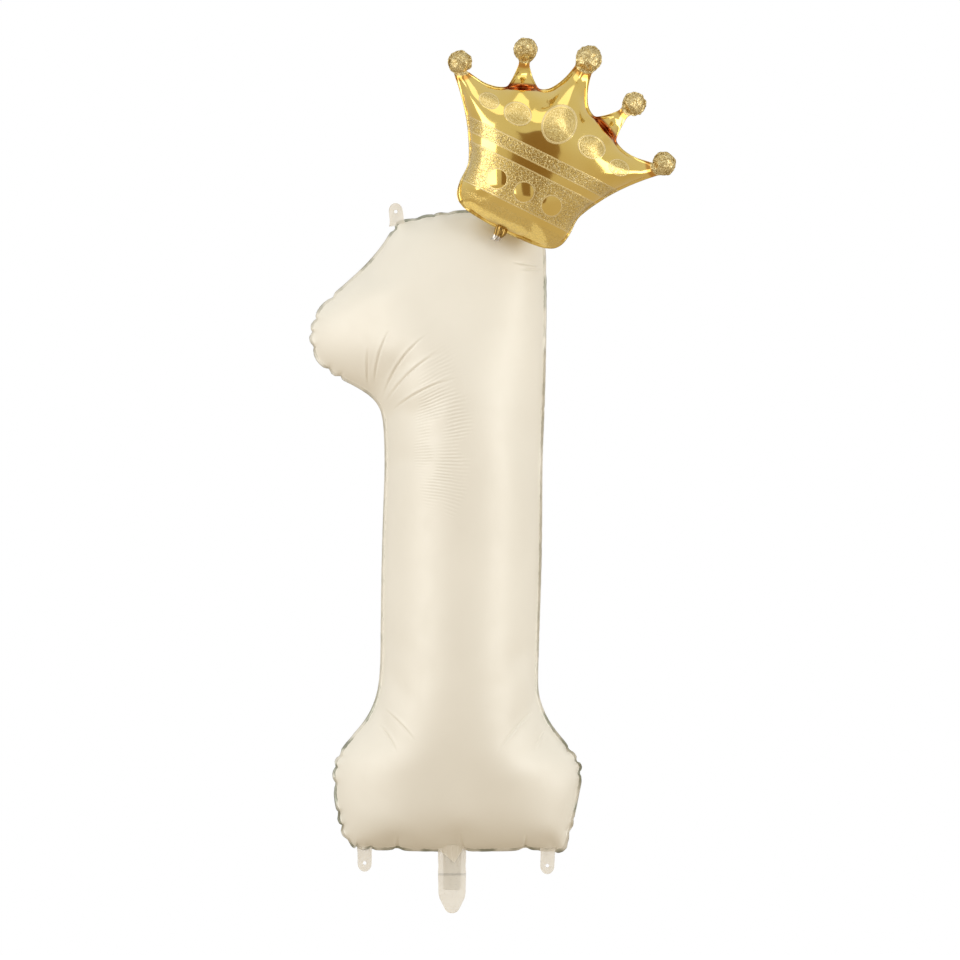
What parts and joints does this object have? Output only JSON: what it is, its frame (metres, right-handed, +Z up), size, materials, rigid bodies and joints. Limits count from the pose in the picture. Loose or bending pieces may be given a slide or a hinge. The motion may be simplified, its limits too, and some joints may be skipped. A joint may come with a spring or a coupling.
{
  "type": "foil number balloon",
  "caption": "Inflated foil figure one with punched hanging tabs and a flat filling tail, and a crown balloon glued to its top corner so that it can turn.",
  "frame": {"origin": "Middle of the figure's neck, where its filling tail leaves the bottom weld, midway between the front and back films.", "axes": "+Z up the figure from its bottom edge to its top, +X to the viewer's right, -Y out of the front, so +Y runs through the balloon's depth from front to back."},
  "size_m": [0.4915, 0.2565, 1.1706],
  "materials": {
    "cream_foil": "satin foil film",
    "gold_foil": "mirror gold metallised film",
    "valve_film": "clear film",
    "glue": "clear tacky gel"
  },
  "bodies": {
    "number": {"number_front_film": "cream_foil", "number_back_film": "cream_foil", "glue_dot": "glue"},
    "number_tail": {"number_tail_front_film": "cream_foil", "number_tail_back_film": "cream_foil", "number_valve_front_ply": "valve_film", "number_valve_back_ply": "valve_film"},
    "bottom_left_tab": {"tab_bottom_left": "cream_foil"},
    "bottom_right_tab": {"tab_bottom_right": "cream_foil"},
    "top_left_tab": {"tab_top_left": "cream_foil"},
    "crown": {"crown_front_film": "gold_foil", "crown_back_film": "gold_foil"},
    "crown_tail": {"crown_tail_front_film": "gold_foil", "crown_tail_back_film": "gold_foil", "crown_valve_front_ply": "valve_film", "crown_valve_back_ply": "valve_film"}
  },
  "joints": [
    {"name": "crown_turn", "type": "hinge", "parent": "number", "child": "crown", "pos_m": [0.0963, -0.0264, 0.8416], "axis": [-0.289, 0.7039, -0.6489], "range_deg": [-30, 25]},
    {"name": "number_tail_bend", "type": "hinge", "parent": "number", "child": "number_tail", "pos_m": [0, 0, -0.004], "axis": [1, 0, 0], "range_deg": [-45, 45]},
    {"name": "bottom_left_tab_bend", "type": "hinge", "parent": "number", "child": "bottom_left_tab", "pos_m": [-0.117, 0, -0.002], "axis": [1, 0, 0], "range_deg": [-60, 60]},
    {"name": "bottom_right_tab_bend", "type": "hinge", "parent": "number", "child": "bottom_right_tab", "pos_m": [0.128, 0, -0.004], "axis": [1, 0, 0], "range_deg": [-60, 60]},
    {"name": "top_left_tab_bend", "type": "hinge", "parent": "number", "child": "top_left_tab", "pos_m": [-0.074, 0, 0.845], "axis": [0.9781, 0, 0.2079], "range_deg": [-60, 60], "stiffness_Nm_per_rad": 0.0002},
    {"name": "crown_tail_bend", "type": "hinge", "parent": "crown", "child": "crown_tail", "pos_m": [0.06761, -0.075, 0.82615], "axis": [0.8957, 0, -0.4446], "range_deg": [-30, 30]}
  ]
}
